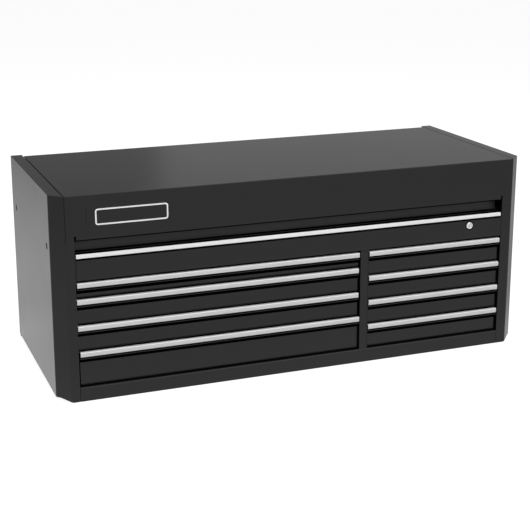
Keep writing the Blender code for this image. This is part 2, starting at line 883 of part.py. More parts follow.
def make_drawer(name, left, right, top, bottom, shift, finish, pull_finish):
    # The front and its pull sit off the middle of their opening by shift.
    is_top = name == "top_drawer"
    if is_top:
        path, wall, rim = top_front(top, bottom), TOP_POCKET, top - TOP_WALL_DROP - STEP
    else:
        path, wall = column_front(top, bottom), FACE_RECESS + POCKET_DEPTH
        rim = top - PULL_SHEET - TOUCH - DRAWER_SHEET + STEP
    start, end = left + SIDE_GAP + shift, right - SIDE_GAP + shift
    drawer = folded(name, path, "X", start, end, DRAWER_SHEET, DRAWER_BEND, finish)
    front = wall + DRAWER_SHEET / 2
    low = Vector((left + SLIDE_SPACE, front, bottom + 2 * STEP))
    high = Vector((right - SLIDE_SPACE, TRAY_REAR, rim))
    tray = box(name + "_tray", low, high)
    thick = Vector((DRAWER_SHEET, DRAWER_SHEET, DRAWER_SHEET))
    inside = box(name + "_inside", low + thick, high - thick + Vector((0, 0, OVERRUN)))
    cut(tray, inside)
    join(drawer, tray)
    # A runner on each side of the tray rides inside the cabinet's slide.
    inset = TOUCH + SLIDE_SHEET + RUNNER_GAP
    low, high = bottom + SLIDE_LIFT, bottom + SLIDE_LIFT + SLIDE_HEIGHT
    for side, outer, inner in (
        ("left", left + inset, left + SLIDE_SPACE + STEP),
        ("right", right - inset, right - SLIDE_SPACE - STEP),
    ):
        section = channel(outer, inner, low + inset - TOUCH, high - inset + TOUCH)
        ends = UPRIGHT_SETBACK, TRAY_REAR - STEP
        join(drawer, folded(f"{name}_{side}_runner", section, "Y", *ends, SLIDE_SHEET, 0))
    pull = flat(
        name + "_pull",
        pull_outline(top, is_top),
        "X",
        start + PULL_INSET,
        end - PULL_INSET,
        pull_finish,
    )
    return drawer, pull


def make_slides(name, left, right, bottom, finish):
    # Cabinet members, each a channel that opens towards its drawer.
    low, high = bottom + SLIDE_LIFT, bottom + SLIDE_LIFT + SLIDE_HEIGHT
    for side, outer, inner in (
        ("left", left + TOUCH, left + TOUCH + SLIDE_DEPTH),
        ("right", right - TOUCH, right - TOUCH - SLIDE_DEPTH),
    ):
        section = channel(outer, inner, low, high)
        ends = UPRIGHT_SETBACK, SLIDE_REAR
        folded(f"{name}_{side}_slide", section, "Y", *ends, SLIDE_SHEET, 0, finish)


def make_lock(housing_finish, plug_finish):
    z = HEIGHT - LOCK_DROP
    bore = PLUG_RADIUS + TOUCH
    profile = (
        (bore, BEZEL_PROUD),
        (BEZEL_RADIUS - BEZEL_ROUND, BEZEL_PROUD),
        (BEZEL_RADIUS, BEZEL_PROUD - BEZEL_ROUND),
        (BEZEL_RADIUS, TOUCH),
        (BARREL_RADIUS, TOUCH),
        (BARREL_RADIUS, -BARREL_LENGTH),
        (bore, -BARREL_LENGTH),
        (bore, BEZEL_PROUD),
    )
    housing = turned("lock_housing", profile, (LOCK_X, 0, z), (0, -1, 0), 32, housing_finish)
    rear = BARREL_LENGTH + TOUCH
    plug = cylinder(
        "lock_plug",
        (LOCK_X, PLUG_HEAD - BEZEL_PROUD, z),
        (LOCK_X, rear + CAM_SHEET, z),
        PLUG_RADIUS,
        24,
        plug_finish,
    )
    cam = box(
        "lock_cam",
        (LOCK_X - CAM_WIDTH / 2, rear, z - CAM_WIDTH / 2),
        (LOCK_X + CAM_LENGTH, rear + CAM_SHEET - STEP, z + CAM_WIDTH / 2),
    )
    keyway = box(
        "keyway",
        (LOCK_X - KEYWAY_WIDTH / 2, -OVERRUN, z - KEYWAY_HEIGHT / 2),
        (LOCK_X + KEYWAY_WIDTH / 2, KEYWAY_DEPTH - BEZEL_PROUD, z + KEYWAY_HEIGHT / 2),
    )
    join(plug, cam)
    cut(plug, keyway)
    return housing, plug


def column_layout():
    # Each drawer: name, left and right of its opening, top of its pull, bottom of its face, shift.
    columns = (
        ("left", LEFT_POST, DIVIDER_LEFT, (SHALLOW_SHARE, MEDIUM_SHARE, MEDIUM_SHARE), FRONT_SHIFTS),
        ("right", DIVIDER_RIGHT, RIGHT_JAMB, (MEDIUM_SHARE,) * 3, (0,) * 4),
    )
    rows = []
    for column, left, right, shares, shifts in columns:
        top = HEIGHT - COLUMN_DROP
        for number, shift in enumerate(shifts):
            is_last = number == len(shares)
            bottom = LAST_BOTTOM if is_last else top - COLUMN_HEIGHT * shares[number] + FACE_GAP
            rows.append((f"{column}_drawer_{number + 1}", left, right, top, bottom, shift))
            top = bottom - FACE_GAP
    return rows


def build():
    make_side("left_side", LEFT_POST, PAINTED)
    mirrored("right_side", make_side("right_side_drawn", RIGHT_POST, None), PAINTED)
    for end, side_sign in (("left", -1), ("right", 1)):
        make_plug(f"{end}_front_plug", side_sign, FRONT_PLUG_SETBACK, PLASTIC)
        make_plug(f"{end}_rear_plug", side_sign, REAR_PLUG_SETBACK, PLASTIC)
    make_back(PAINTED)
    make_pan(PAINTED)
    make_rail(PAINTED)
    make_partition(PAINTED)
    make_deck(INNER)
    make_till(PAINTED)
    make_slide_frame("left_slide_frame", LEFT_POST, INNER)
    mirrored("right_slide_frame", make_slide_frame("right_frame_drawn", RIGHT_POST, None), INNER)

    lid = make_lid(PAINTED)
    fixed_leaf, lid_leaf = make_hinge(ZINC, ZINC)
    plate = box(
        "name_plate",
        (PLATE_LEFT, -TOUCH - PLATE_SHEET, HEIGHT - PLATE_DROP - PLATE_HEIGHT),
        (PLATE_LEFT + PLATE_WIDTH, -TOUCH, HEIGHT - PLATE_DROP),
        PAINTED,
    )
    carry("lid_pivot", CORNER + Vector((WIDTH / 2, HINGE_Y, HINGE_Z)), lid, lid_leaf, plate)
    for side_sign in (-1, 1):
        tube, rod, foot = make_strut(side_sign, INNER, ZINC)
        carry(tube.name + "_pivot", foot, tube, rod)

    top = HEIGHT - TOP_PULL_DROP
    bottom = HEIGHT - TOP_FACE_DROP
    drawer, pull = make_drawer(
        "top_drawer", LEFT_POST, RIGHT_JAMB, top, bottom, 0, PAINTED, ALUMINIUM
    )
    make_slides("top_drawer", LEFT_POST, RIGHT_JAMB, bottom, ZINC)
    lock_z = HEIGHT - LOCK_DROP
    cut(
        drawer,
        cylinder(
            "lock_hole",
            (LOCK_X, -OVERRUN, lock_z),
            (LOCK_X, DRAWER_SHEET + OVERRUN, lock_z),
            BARREL_RADIUS + TOUCH,
            32,
        ),
    )
    housing, lock_plug = make_lock(CHROME, CHROME)
    carry("top_drawer_slide", CORNER + Vector((WIDTH / 2, 0, top)), drawer, pull, housing)
    carry("lock_pivot", CORNER + Vector((LOCK_X, 0, lock_z)), lock_plug)
    for name, left, right, top, bottom, shift in column_layout():
        drawer, pull = make_drawer(name, left, right, top, bottom, shift, PAINTED, ALUMINIUM)
        make_slides(name, left, right, bottom, ZINC)
        carry(name + "_slide", CORNER + Vector(((left + right) / 2, 0, top)), drawer, pull)


clear_scene()
chest = new_collection("tool_chest")
tools = new_collection("tool_chest_tools")
build()
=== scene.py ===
import json
import math

import bmesh
import bpy
import numpy as np
from mathutils import Euler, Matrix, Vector


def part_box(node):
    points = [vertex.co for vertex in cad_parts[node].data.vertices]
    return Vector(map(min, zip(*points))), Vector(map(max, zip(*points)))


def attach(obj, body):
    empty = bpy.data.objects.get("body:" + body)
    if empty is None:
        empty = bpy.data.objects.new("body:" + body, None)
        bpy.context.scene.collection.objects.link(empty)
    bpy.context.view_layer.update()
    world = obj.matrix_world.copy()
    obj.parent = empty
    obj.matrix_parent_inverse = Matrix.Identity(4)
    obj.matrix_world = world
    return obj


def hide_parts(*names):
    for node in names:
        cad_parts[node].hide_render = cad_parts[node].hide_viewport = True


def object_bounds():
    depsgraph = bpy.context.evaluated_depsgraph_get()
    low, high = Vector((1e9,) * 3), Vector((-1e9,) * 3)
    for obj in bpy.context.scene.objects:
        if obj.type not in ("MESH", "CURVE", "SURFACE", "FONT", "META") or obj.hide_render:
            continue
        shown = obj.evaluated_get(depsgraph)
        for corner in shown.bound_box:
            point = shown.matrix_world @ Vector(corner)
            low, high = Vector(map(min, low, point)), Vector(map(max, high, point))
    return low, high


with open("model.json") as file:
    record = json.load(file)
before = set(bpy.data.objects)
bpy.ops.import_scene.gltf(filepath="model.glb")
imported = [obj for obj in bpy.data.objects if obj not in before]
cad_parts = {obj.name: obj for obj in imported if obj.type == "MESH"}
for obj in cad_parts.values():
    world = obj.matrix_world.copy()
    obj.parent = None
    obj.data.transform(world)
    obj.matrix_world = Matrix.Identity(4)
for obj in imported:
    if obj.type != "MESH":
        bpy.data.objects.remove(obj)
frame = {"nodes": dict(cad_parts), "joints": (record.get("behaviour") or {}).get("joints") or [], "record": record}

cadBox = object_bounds()
nodes = frame["nodes"]
scene = bpy.context.scene
bodyOf = {name: body for body, names in frame["record"]["behaviour"]["bodies"].items() for name in names}
slotOf = {row["node"]: row["material_slot"] for row in frame["record"]["subparts"]}
drawerNames = [name[: -len("_pull")] for name in nodes if name.endswith("_pull")]
# The case's left, front and top, from which the pieces' own sizes are counted.
caseLeft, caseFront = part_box("left_side")[0].x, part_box("left_side")[0].y
caseTop = cadBox[1][2]
print("stage: the packed chest is in, with", len(nodes), "pieces")

cameraSet = {
    "place": (-1.3333, -3.4637, 1.3510),
    "turn": (75.353, 0.046, -20.862),
    "lens": 84.315,
    "sensor": 36.0,
    "shift": (0.00634, -0.08174),
}


def makeCamera():
    data = bpy.data.cameras.new("photoCamera")
    data.lens = cameraSet["lens"]
    data.sensor_width = cameraSet["sensor"]
    data.shift_x, data.shift_y = cameraSet["shift"]
    data.clip_end = 200
    camera = bpy.data.objects.new("photoCamera", data)
    camera.location = cameraSet["place"]
    camera.rotation_euler = Euler([math.radians(a) for a in cameraSet["turn"]])
    scene.collection.objects.link(camera)
    scene.camera = camera


makeCamera()
scene.view_settings.view_transform = "Standard"
print("stage: camera")


def addNode(tree, kind, settings=None, inputs=None):
    # A node of that kind; an input is given a value, or the socket that feeds it.
    node = tree.nodes.new(kind)
    for key, value in (settings or {}).items():
        setattr(node, key, value)
    for key, value in (inputs or {}).items():
        if isinstance(value, bpy.types.NodeSocket):
            tree.links.new(value, node.inputs[key])
        else:
            node.inputs[key].default_value = value
    return node


def addMath(tree, operation, first, second=0.0):
    return addNode(tree, "ShaderNodeMath", {"operation": operation}, {0: first, 1: second}).outputs[0]


def addVector(tree, operation, first, second=(0, 0, 0), output="Vector"):
    inputs = {0: first, 1: second}
    return addNode(tree, "ShaderNodeVectorMath", {"operation": operation}, inputs).outputs[output]


def addRange(tree, value, low, high, start, end, smooth=False):
    settings = {"interpolation_type": "SMOOTHSTEP" if smooth else "LINEAR"}
    inputs = {0: value, 1: low, 2: high, 3: start, 4: end}
    return addNode(tree, "ShaderNodeMapRange", settings, inputs).outputs[0]


def addRamp(tree, value, stops):
    # A grey ramp through (position, level) pairs.
    ramp = addNode(tree, "ShaderNodeValToRGB", None, {0: value})
    marks = ramp.color_ramp.elements
    while len(marks) < len(stops):
        marks.new(1.0)
    for mark, (position, level) in zip(marks, stops):
        mark.position = position
        mark.color = (level, level, level, 1)
    return ramp.outputs[0]


studioSet = {
    "fill": 0.38,
    "floorGlow": 0.86,
    "floorColour": 0.35,
    "floorHalf": 60.0,
    "floorDrop": 0.0005,
    # The case covers this half size of the floor. Beyond it the gloss sees the floor at these levels, by the
    # distance from the case as a share of the reach.
    "floorCover": (0.724, 0.300, 0.0),
    "floorReach": 6.0,
    "floorLevels": ((0.0, 0.76), (0.06, 0.57), (0.125, 0.58), (0.25, 0.47), (0.5, 0.22), (1.0, 1.15)),
    # A darker pool beside the case.
    "poolPlace": (1.35, 0.05, 0.0),
    "poolReach": 0.55,
    "poolLevel": -0.22,
    # A grey flag behind the case that the gloss sees: its direction, its soft edges and its levels by height.
    "flagToward": (0.383, 0.924, 0.0),
    "flagEdge": (0.60, 0.84),
    "flagLevels": ((0.0, 0.34), (0.10, 0.66), (0.21, 0.10), (0.29, 0.32), (0.47, 0.06), (0.62, 1.0)),
    # Each lamp: its centre, its aim, its width and height, its strength, and whether the gloss sees it.
    "boxes": {
        "leftLow": ((-4.5, 2.5, 1.2), (-0.7, 0, 0.3), 3.0, 2.2, 4.45, True),
        "overhead": ((0.3, -0.4, 4.2), (0, 0, 0.5), 3.5, 2.5, 1.5, True),
        "frontHigh": ((-0.3, -3.8, 3.4), (0, -0.3, 0.3), 3.5, 2.5, 4.0, False),
        "backRight": ((2.4, 4.3, 1.9), (0, 0, 0.5), 3.0, 2.6, 0.18, True),
        "right": ((4.5, 0.6, 1.4), (0.7, 0, 0.3), 3.0, 2.4, 1.0, False),
        "front": ((1.5, -4.5, 1.8), (0, 0, 0.3), 3.5, 2.4, 0.80, True),
    },
}


def makeWorld():
    # White to the camera and to glass; the gloss sees the same white with the flag in front of it.
    world = bpy.data.worlds.new("studioAir")
    scene.world = world
    world.use_nodes = True
    tree = world.node_tree
    tree.nodes.clear()
    path = addNode(tree, "ShaderNodeLightPath").outputs
    seen = addMath(tree, "MAXIMUM", path["Is Camera Ray"], path["Is Transmission Ray"])
    shown = addMath(tree, "MAXIMUM", seen, path["Is Glossy Ray"])
    toward = addNode(tree, "ShaderNodeTexCoord").outputs["Generated"]
    flat = addVector(tree, "NORMALIZE", addVector(tree, "MULTIPLY", toward, (1, 1, 0)))
    facing = addVector(tree, "DOT_PRODUCT", flat, studioSet["flagToward"], "Value")
    near = addRange(tree, facing, *studioSet["flagEdge"], 0, 1, True)
    height = addNode(tree, "ShaderNodeSeparateXYZ", None, {0: toward}).outputs["Z"]
    flag = addRamp(tree, height, studioSet["flagLevels"])
    inGloss = addMath(tree, "MULTIPLY", near, path["Is Glossy Ray"])
    blend = {0: inGloss, 2: 1.0, 3: flag}
    strength = addNode(tree, "ShaderNodeMix", {"data_type": "FLOAT"}, blend).outputs[0]
    air = addNode(tree, "ShaderNodeBackground", None, {"Strength": studioSet["fill"]})
    white = addNode(tree, "ShaderNodeBackground", None, {"Strength": strength})
    mix = addNode(tree, "ShaderNodeMixShader", None, {0: shown, 1: air.outputs[0], 2: white.outputs[0]})
    addNode(tree, "ShaderNodeOutputWorld", None, {0: mix.outputs[0]})


def makeFloor():
    # A pale floor that glows evenly to the camera. The gloss sees it at levels that follow the distance from
    # the case, with a darker pool on one side.
    half, under = studioSet["floorHalf"], -studioSet["floorDrop"]
    mesh = bpy.data.meshes.new("studioFloor")
    corners = [(x * half, y * half, under) for x, y in ((-1, -1), (1, -1), (1, 1), (-1, 1))]
    mesh.from_pydata(corners, [], [(0, 1, 2, 3)])
    floor = bpy.data.objects.new("studioFloor", mesh)
    scene.collection.objects.link(floor)
    paint = bpy.data.materials.new("paleFloor")
    paint.use_nodes = True
    tree = paint.node_tree
    tree.nodes.clear()
    diffuse = addNode(tree, "ShaderNodeBsdfDiffuse", None, {"Color": (studioSet["floorColour"],) * 3 + (1,)})
    path = addNode(tree, "ShaderNodeLightPath").outputs
    place = addNode(tree, "ShaderNodeTexCoord").outputs["Object"]
    beyond = addVector(tree, "SUBTRACT", addVector(tree, "ABSOLUTE", place), studioSet["floorCover"])
    away = addVector(tree, "LENGTH", addVector(tree, "MAXIMUM", beyond), output="Value")
    level = addRamp(tree, addMath(tree, "DIVIDE", away, studioSet["floorReach"]), studioSet["floorLevels"])
    fromPool = addVector(tree, "DISTANCE", place, studioSet["poolPlace"], "Value")
    pool = addRange(tree, fromPool, 0, 2 * studioSet["poolReach"], studioSet["poolLevel"], 0, True)
    inGloss = addMath(tree, "MULTIPLY", addMath(tree, "ADD", level, pool), path["Is Glossy Ray"])
    inView = addMath(tree, "MULTIPLY", path["Is Camera Ray"], studioSet["floorGlow"])
    glow = addNode(tree, "ShaderNodeEmission", None, {"Strength": addMath(tree, "ADD", inGloss, inView)})
    both = addNode(tree, "ShaderNodeAddShader", None, {0: diffuse.outputs[0], 1: glow.outputs[0]})
    addNode(tree, "ShaderNodeOutputMaterial", None, {0: both.outputs[0]})
    mesh.materials.append(paint)


def makeLamps():
    # A lamp's power is the strength of its face times pi times its area.
    for name, (place, aim, wide, high, level, glossy) in studioSet["boxes"].items():
        data = bpy.data.lights.new(name, "AREA")
        data.shape = "RECTANGLE"
        data.size, data.size_y = wide, high
        data.energy = level * math.pi * wide * high
        lamp = bpy.data.objects.new(name, data)
        lamp.location = place
        lamp.rotation_euler = (Vector(aim) - Vector(place)).to_track_quat("-Z", "Y").to_euler()
        lamp.visible_camera = False
        lamp.visible_glossy = glossy
        scene.collection.objects.link(lamp)


makeWorld()
makeFloor()
makeLamps()
print("stage: studio")

# Each finish: base colour, metallic, roughness, specular level, then its detail: how far the colour and the
# roughness wander, the grain's scale per metre along x, y and z, and the bump's strength and depth.
finishSet = {
    "powderCoat": {
        "colour": (0.0045, 0.0045, 0.0046), "metallic": 0.0, "rough": 0.235, "gloss": 0.38,
        "wander": 0.08, "roughWander": 0.010, "grain": (1500, 1500, 1500), "bump": 0.05, "depth": 0.00015,
    },
    # painted shade: a dull black put on recesses, gaps and strips where they fall into shadow
    "paintedShadeBlack": {
        "colour": (0.0012, 0.0012, 0.0012), "metallic": 0.0, "rough": 0.95, "gloss": 0.03,
        "wander": 0.20, "roughWander": 0.03, "grain": (900, 900, 900), "bump": 0.10, "depth": 0.0002,
    },
    # painted light: a lighter, less glossy copy of the powder coat for the till's front, which lies in the apron's
    # shadow
    "tillFrontPaintedLight": {
        "colour": (0.031, 0.031, 0.0315), "metallic": 0.0, "rough": 0.33, "gloss": 0.27,
        "wander": 0.08, "roughWander": 0.03, "grain": (1500, 1500, 1500), "bump": 0.05, "depth": 0.00015,
    },
    "innerBlack": {
        "colour": (0.0130, 0.0130, 0.0130), "metallic": 0.0, "rough": 0.55, "gloss": 0.35,
        "wander": 0.15, "roughWander": 0.05, "grain": (1100, 1100, 1100), "bump": 0.12, "depth": 0.0002,
    },
    "brushedPull": {
        "colour": (0.730, 0.732, 0.735), "metallic": 0.15, "rough": 0.40, "gloss": 0.40,
        "wander": 0.04, "roughWander": 0.05, "grain": (12, 2600, 2600), "bump": 0.06, "depth": 0.0001,
    },
    # a lighter copy of the pull's aluminium: painted highlight on the pulls' flanges and noses and on the whole
    # top pull, and the plain white of the plate's rim
    "brightPull": {
        "colour": (0.955, 0.957, 0.960), "metallic": 0.05, "rough": 0.45, "gloss": 0.40,
        "wander": 0.03, "roughWander": 0.05, "grain": (12, 2600, 2600), "bump": 0.05, "depth": 0.0001,
    },
    "zincPlate": {
        "colour": (0.430, 0.445, 0.460), "metallic": 1.0, "rough": 0.38, "gloss": 0.50,
        "wander": 0.12, "roughWander": 0.08, "grain": (160, 160, 160), "bump": 0.04, "depth": 0.0002,
    },
    "lockChrome": {
        "colour": (0.800, 0.800, 0.805), "metallic": 1.0, "rough": 0.16, "gloss": 0.50,
        "wander": 0.02, "roughWander": 0.03, "grain": (700, 700, 700), "bump": 0.01, "depth": 0.0001,
    },
    "plugPlastic": {
        "colour": (0.0110, 0.0110, 0.0110), "metallic": 0.0, "rough": 0.48, "gloss": 0.50,
        "wander": 0.10, "roughWander": 0.06, "grain": (2200, 2200, 2200), "bump": 0.15, "depth": 0.0001,
    },
    "linerRubber": {
        "colour": (0.0300, 0.0300, 0.0305), "metallic": 0.0, "rough": 0.78, "gloss": 0.30,
        "wander": 0.22, "roughWander": 0.06, "grain": (1300, 1300, 1300), "bump": 0.30, "depth": 0.0003,
    },
}

# The noise that every finish shares: the slow noise's scale and detail, the fine noise's detail and its share
# of the blend, and the part of the blend that the wander is spread over.
noiseSet = {"slowScale": 9.0, "slowDetail": 3.0, "fineDetail": 2.0, "fineShare": 0.35, "spread": (0.45, 0.90)}


def newFinish(name):
    # The colour and the roughness wander slowly over the piece, and the fine grain lifts its surface.
    made, noise = finishSet[name], noiseSet
    finish = bpy.data.materials.new(name)
    finish.use_nodes = True
    tree = finish.node_tree
    shader = tree.nodes["Principled BSDF"]
    shader.inputs["Metallic"].default_value = made["metallic"]
    shader.inputs["Specular IOR Level"].default_value = made["gloss"]
    place = addNode(tree, "ShaderNodeTexCoord").outputs["Object"]
    slowInputs = {"Vector": place, "Scale": noise["slowScale"], "Detail": noise["slowDetail"]}
    slow = addNode(tree, "ShaderNodeTexNoise", None, slowInputs)
    grained = addVector(tree, "MULTIPLY", place, made["grain"])
    fineInputs = {"Vector": grained, "Scale": 1.0, "Detail": noise["fineDetail"]}
    fine = addNode(tree, "ShaderNodeTexNoise", None, fineInputs)
    share = addMath(tree, "MULTIPLY", fine.outputs[0], noise["fineShare"])
    blend = addMath(tree, "ADD", share, slow.outputs[0])
    low, high = 1 - made["wander"], 1 + made["wander"]
    dark = tuple(c * low for c in made["colour"]) + (1,)
    light = tuple(c * high for c in made["colour"]) + (1,)
    spread = addRange(tree, blend, *noise["spread"], 0, 1)
    colour = addNode(tree, "ShaderNodeMix", {"data_type": "RGBA"}, {0: spread, 6: dark, 7: light})
    tree.links.new(colour.outputs[2], shader.inputs["Base Color"])
    low, high = made["rough"] - made["roughWander"], made["rough"] + made["roughWander"]
    rough = addRange(tree, blend, *noise["spread"], low, high)
    tree.links.new(rough, shader.inputs["Roughness"])
    bump = addNode(
        tree, "ShaderNodeBump", None,
        {"Strength": made["bump"], "Distance": made["depth"], "Height": fine.outputs[0]},
    )
    tree.links.new(bump.outputs[0], shader.inputs["Normal"])
    return finish


finishes = {name: newFinish(name) for name in finishSet}
slotFinish = {
    "painted_steel": finishes["powderCoat"],
    "inner_steel": finishes["innerBlack"],
    "pull_aluminium": finishes["brushedPull"],
    "plated_steel": finishes["zincPlate"],
    "lock_chrome": finishes["lockChrome"],
    "plug_plastic": finishes["plugPlastic"],
}
for name, item in nodes.items():
    item.data.materials.clear()
    item.data.materials.append(slotFinish[slotOf[name]])
print("stage: finishes")


def ringFaces(rings, around, startCap=True, endCap=True):
    # Quads between neighbouring rings of a tube, and a flat face at each end that is asked for.
    first = np.arange(rings - 1)[:, None] * around + np.arange(around)
    second = np.arange(rings - 1)[:, None] * around + np.roll(np.arange(around), -1)
    faces = np.stack([first, second, second + around, first + around], -1).reshape(-1, 4).tolist()
    if startCap:
        faces.append(list(range(around - 1, -1, -1)))
    if endCap:
        faces.append(list(range((rings - 1) * around, rings * around)))
    return faces


def roundedLine(corners, closed, steps=6):
    # Each corner (u, v, radius) becomes an arc that meets both its edges: its centre lies on the corner's
    # bisector, and its points are that centre plus the radius times a direction swept from edge to edge.
    spots = np.array([c[:2] for c in corners], float)
    count = len(spots)
    line = []
    for i, (spot, corner) in enumerate(zip(spots, corners)):
        radius = corner[2]
        if radius == 0 or (not closed and i in (0, count - 1)):
            line.append(spot[None])
            continue
        back, ahead = spots[i - 1] - spot, spots[(i + 1) % count] - spot
        reach = min(np.linalg.norm(back), np.linalg.norm(ahead))
        back, ahead = back / np.linalg.norm(back), ahead / np.linalg.norm(ahead)
        half = math.acos(float(np.clip(back @ ahead, -1, 1))) / 2
        # An arc takes less than half of its shorter edge.
        radius = min(radius, 0.49 * reach * math.tan(half))
        middle = (back + ahead) / np.linalg.norm(back + ahead)
        centre = spot + middle * radius / math.sin(half)
        start = spot + back * radius / math.tan(half) - centre
        end = spot + ahead * radius / math.tan(half) - centre
        turn = math.atan2(start[0] * end[1] - start[1] * end[0], float(start @ end))
        angles = math.atan2(start[1], start[0]) + turn * np.linspace(0, 1, steps + 1)
        line.append(centre + radius * np.stack([np.cos(angles), np.sin(angles)], -1))
    return np.concatenate(line)


def turnedShell(profile, centre, axis, around=48, startCap=True, endCap=True):
    # A profile of (radius, height) turned about an axis: each point is the centre plus the height along the
    # axis plus the radius in a direction across it.
    axis = Vector(axis).normalized()
    across = axis.orthogonal().normalized()
    third = np.array(axis.cross(across))
    angles = np.linspace(0, 2 * math.pi, around, endpoint=False)
    ring = np.cos(angles)[:, None] * np.array(across) + np.sin(angles)[:, None] * third
    radius, height = np.asarray(profile, float).T
    points = np.array(centre) + height[:, None, None] * np.array(axis) + radius[:, None, None] * ring
    return points.reshape(-1, 3), ringFaces(len(radius), around, startCap, endCap)


def hoopShell(section, centre, axis, around):
    # A closed section turned about an axis: every ring joins the next one, and the last ring joins the first.
    points = turnedShell(section, centre, axis, around, False, False)[0]
    ids = np.arange(len(points)).reshape(len(section), around)
    ahead, beside = np.roll(ids, -1, 0), np.roll(ids, -1, 1)
    faces = np.stack([ids, beside, np.roll(beside, -1, 0), ahead], -1).reshape(-1, 4).tolist()
    return points, faces


def sweptShell(section, start, end):
    # A closed section of (y, z) carried along X from start to end.
    ends = np.array([start, end], float)
    points = np.zeros((2, len(section), 3))
    points[..., 0] = ends[:, None]
    points[..., 1:] = section
    return points.reshape(-1, 3), ringFaces(2, len(section))


bevelSet = {"segments": 2, "overDegrees": 60}


def newPiece(name, shells, finish, body, replaced=(), crease=35, soften=0.0):
    # One piece of all the shells. Edges over the crease angle stay sharp, and soften is the width of a bevel.
    points = np.concatenate([shell[0] for shell in shells])
    starts = np.cumsum([0] + [len(shell[0]) for shell in shells])
    faces = [[i + start for i in face] for start, shell in zip(starts, shells) for face in shell[1]]
    mesh = bpy.data.meshes.new(name)
    mesh.from_pydata(points.tolist(), [], faces)
    shape = bmesh.new()
    shape.from_mesh(mesh)
    bmesh.ops.recalc_face_normals(shape, faces=shape.faces)
    shape.to_mesh(mesh)
    shape.free()
    mesh.materials.append(finishes[finish])
    mesh.shade_smooth()
    mesh.set_sharp_from_angle(angle=math.radians(crease))
    piece = bpy.data.objects.new(name, mesh)
    scene.collection.objects.link(piece)
    if soften:
        edge = piece.modifiers.new("softEdge", "BEVEL")
        edge.width = soften
        edge.segments = bevelSet["segments"]
        edge.limit_method = "ANGLE"
        edge.angle_limit = math.radians(bevelSet["overDegrees"])
    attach(piece, body)
    if replaced:
        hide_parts(*replaced)
    return piece


# The drawers, the sides, the divider, the lid and the till's tray keep their imported shape. Each goes into a
# piece of its own, so that the faces deep in the finger pockets and gaps can carry a second finish: mostly a
# dull black of painted shade where those recesses fall into shadow, and on the till's front a lighter copy of
# the paint. A depth counts from the case's front; mouth, groove and rim count down from the pull's top.
shadeSet = {
    "columnDepth": (0.0030, 0.0262),
    "columnMouth": 0.0301,
    "columnDeep": 0.0108,
    "topDepth": (0.0001, 0.0245),
    "topGroove": 0.0185,
    "topRim": 0.0012,
    "jambStart": 0.0018,
    "postLap": 0.002,
    "apronBend": 0.0024,
    "apronFace": 0.0002,
    "hemDepth": 0.0155,
    "slotHeight": 0.0134,
    "tillFace": 0.0345,
    "frontward": -0.5,
}


def dressNode(name, pick, second="paintedShadeBlack"):
    # pick is given the faces' middles, from the case's front left corner, and their normals.
    node = nodes[name]
    mesh = node.data.copy()
    mesh.name = name + "_dressed"
    mesh.materials.append(finishes[second])
    count = len(mesh.polygons)
    middle, facing = np.zeros(count * 3), np.zeros(count * 3)
    mesh.polygons.foreach_get("center", middle)
    mesh.polygons.foreach_get("normal", facing)
    middle = middle.reshape(-1, 3) - (caseLeft, caseFront, 0)
    chosen = pick(middle, facing.reshape(-1, 3)).astype(np.int32)
    # The picked faces take the second finish: painted shade, or on the till's front painted light.
    mesh.polygons.foreach_set("material_index", chosen)
    piece = bpy.data.objects.new(name + "_dressed", mesh)
    scene.collection.objects.link(piece)
    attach(piece, bodyOf[name])
    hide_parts(name)


def dressAll():
    made = shadeSet
    near, far = made["columnDepth"]
    topNear, topFar = made["topDepth"]
    # The finger pockets and the gaps under the pulls take painted shade, where they fall into shadow.
    for name in drawerNames:
        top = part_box(name + "_pull")[1].z
        if name == "top_drawer":
            floor, rim = top - made["topGroove"], top - made["topRim"]
            dressNode(
                name,
                lambda c, n: (c[:, 1] > topNear) & (c[:, 1] < topFar) & (c[:, 2] > floor) & (c[:, 2] < rim),
            )
        else:
            mouth, deep = top - made["columnMouth"], made["columnDeep"]
            dressNode(
                name,
                lambda c, n: (c[:, 1] > near) & (c[:, 1] < far) & ((c[:, 2] > mouth) | (c[:, 1] > deep)),
            )
    # The jambs behind the posts and the divider's faces behind the front take painted shade.
    leftPost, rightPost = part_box("front_rail")[0].x - caseLeft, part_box("front_rail")[1].x - caseLeft
    start, lap = made["jambStart"], made["postLap"]
    dressNode("left_side", lambda c, n: (c[:, 0] > leftPost - lap) & (c[:, 1] > start))
    dressNode("right_side", lambda c, n: (c[:, 0] < rightPost + lap) & (c[:, 1] > start))
    dressNode("partition", lambda c, n: c[:, 1] > start)
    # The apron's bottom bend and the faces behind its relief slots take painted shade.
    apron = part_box("lid")[0].z
    bend, slot, hem = apron + made["apronBend"], apron + made["slotHeight"], made["hemDepth"]
    face, till, frontward = made["apronFace"], made["tillFace"], made["frontward"]
    dressNode(
        "lid",
        lambda c, n: (c[:, 1] < hem) & ((c[:, 2] < bend) | ((c[:, 2] < slot) & (c[:, 1] > face))),
    )
    # The till's front wall takes the lighter copy of the paint: painted light against the apron's shadow.
    dressNode("till_tray", lambda c, n: (c[:, 1] < till) & (n[:, 1] < frontward), "tillFrontPaintedLight")


dressAll()
print("stage: dark pockets")

